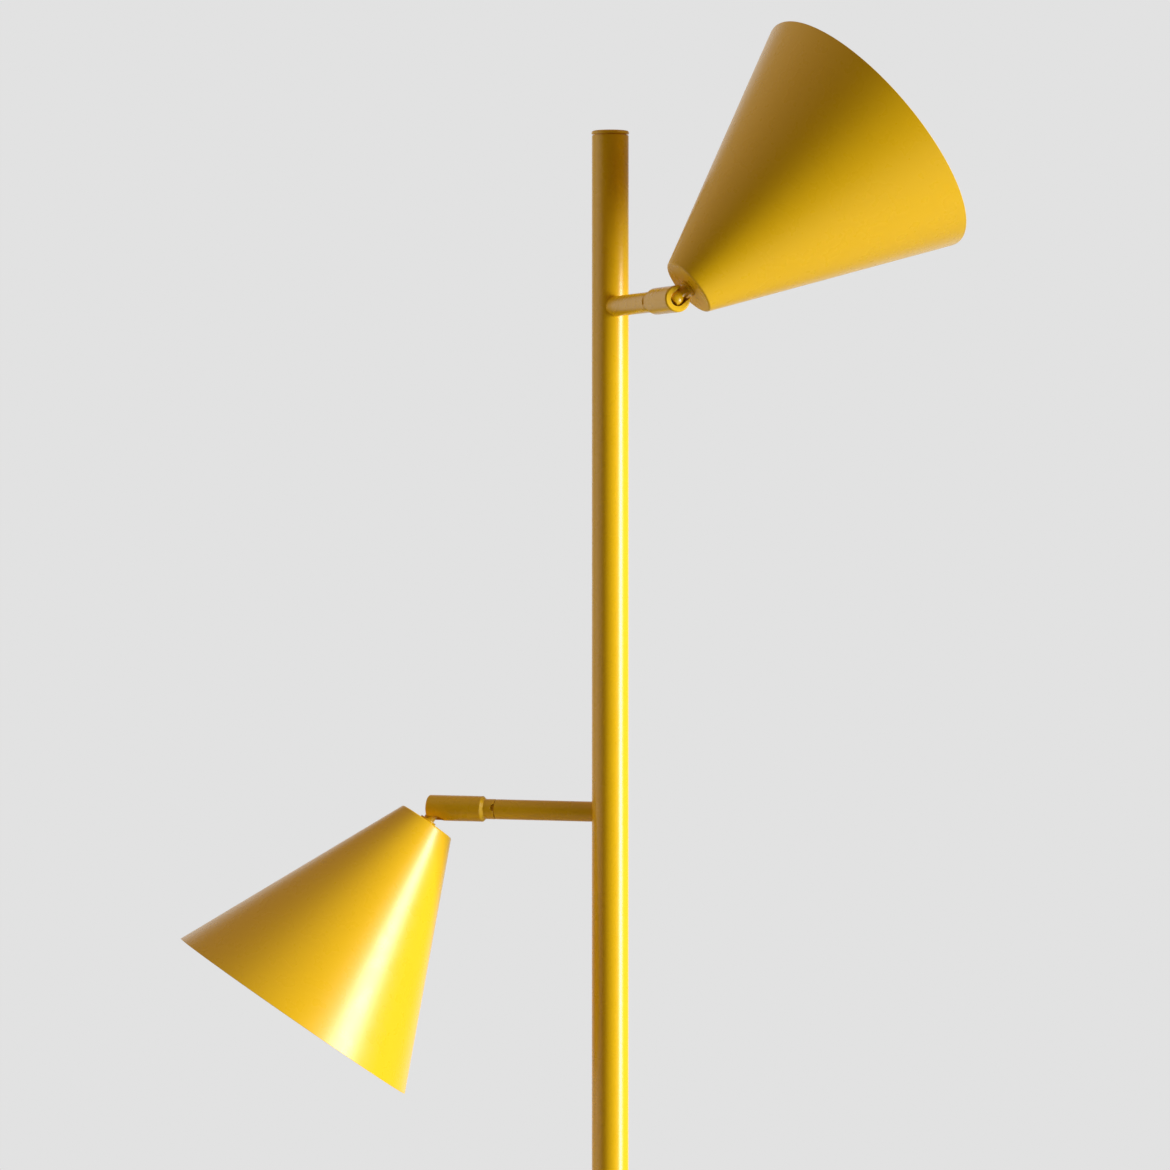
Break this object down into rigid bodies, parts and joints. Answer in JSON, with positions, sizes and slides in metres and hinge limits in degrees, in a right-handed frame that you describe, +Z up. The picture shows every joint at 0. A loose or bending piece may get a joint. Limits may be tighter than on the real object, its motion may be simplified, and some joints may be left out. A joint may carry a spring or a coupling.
{
  "type": "floor lamp",
  "caption": "Free-standing floor lamp: a slim pole on a weighted round base, with cone spotlights that swivel and tilt on short side arms.",
  "frame": {"origin": "centre of the underside of the base pad, on the pole's axis, on the floor", "axes": "+Z up along the pole, -X along the lower arm; the picture looks level from the -Y side, about 18 degrees round towards +X"},
  "size_m": [0.4846, 0.262, 1.5555],
  "materials": {
    "yellow_paint": "satin golden-yellow powder coat",
    "steel": "bright zinc-plated steel",
    "brass": "bare brass",
    "iron": "rough cast iron, black primer",
    "rubber": "matt black rubber",
    "black_fibre": "matt black fibre",
    "white_plastic": "matt white thermoplastic",
    "opal_glass": "opal white glass"
  },
  "bodies": {
    "stand": {"pole_lower": "yellow_paint", "pole_upper": "yellow_paint", "pole_coupler": "steel", "coupler_screws": "steel", "pole_cap": "yellow_paint", "pole_foot": "steel", "foot_collar": "yellow_paint", "base_cover": "yellow_paint", "base_weight": "iron", "base_washer": "steel", "base_nut": "steel", "base_pad": "rubber", "cable_inlet": "rubber", "terminal_block": "white_plastic", "terminal_screws": "brass", "upper_arm": "yellow_paint", "upper_arm_bush": "steel", "upper_friction_washer": "black_fibre", "upper_stop_pin": "steel", "upper_lead": "white_plastic", "lower_arm": "yellow_paint", "lower_arm_bush": "steel", "lower_friction_washer": "black_fibre", "lower_stop_pin": "steel", "lower_lead": "white_plastic"},
    "upper_joint": {"upper_spindle": "steel", "upper_spindle_nut": "brass", "upper_swivel_spring": "steel", "upper_neck": "yellow_paint", "upper_holder": "yellow_paint", "upper_ball_seat": "black_fibre", "upper_seat_spring": "steel"},
    "upper_head": {"upper_ball_stud": "yellow_paint", "upper_shade": "yellow_paint", "upper_lock_washer": "steel", "upper_stud_nut": "brass", "upper_socket_cap": "white_plastic", "upper_socket_barrel": "white_plastic", "upper_screw_shell": "brass", "upper_centre_contact": "brass", "upper_bulb_cap": "brass", "upper_bulb_glass": "opal_glass"},
    "lower_joint": {"lower_spindle": "steel", "lower_spindle_nut": "brass", "lower_swivel_spring": "steel", "lower_neck": "yellow_paint", "lower_holder": "yellow_paint", "lower_ball_seat": "black_fibre", "lower_seat_spring": "steel"},
    "lower_head": {"lower_ball_stud": "yellow_paint", "lower_shade": "yellow_paint", "lower_lock_washer": "steel", "lower_stud_nut": "brass", "lower_socket_cap": "white_plastic", "lower_socket_barrel": "white_plastic", "lower_screw_shell": "brass", "lower_centre_contact": "brass", "lower_bulb_cap": "brass", "lower_bulb_glass": "opal_glass"}
  },
  "joints": [
    {"name": "upper_swivel", "type": "hinge", "parent": "stand", "child": "upper_joint", "pos_m": [0.04395, -0.05728, 1.395], "axis": [0.6088, -0.7934, 0], "range_deg": [-284.4, 25.6]},
    {"name": "upper_tilt", "type": "hinge", "parent": "upper_joint", "child": "upper_head", "pos_m": [0.06733, -0.08774, 1.395], "axis": [-0.5036, -0.3864, 0.7727], "range_deg": [-89.5, 5.5]},
    {"name": "lower_swivel", "type": "hinge", "parent": "stand", "child": "lower_joint", "pos_m": [-0.0722, 0, 1.0928], "axis": [-1, 0, 0], "range_deg": [-174.7, 135.3]},
    {"name": "lower_tilt", "type": "hinge", "parent": "lower_joint", "child": "lower_head", "pos_m": [-0.1106, 0, 1.0928], "axis": [0, -0.9415, 0.3371], "range_deg": [-60, 35]}
  ]
}
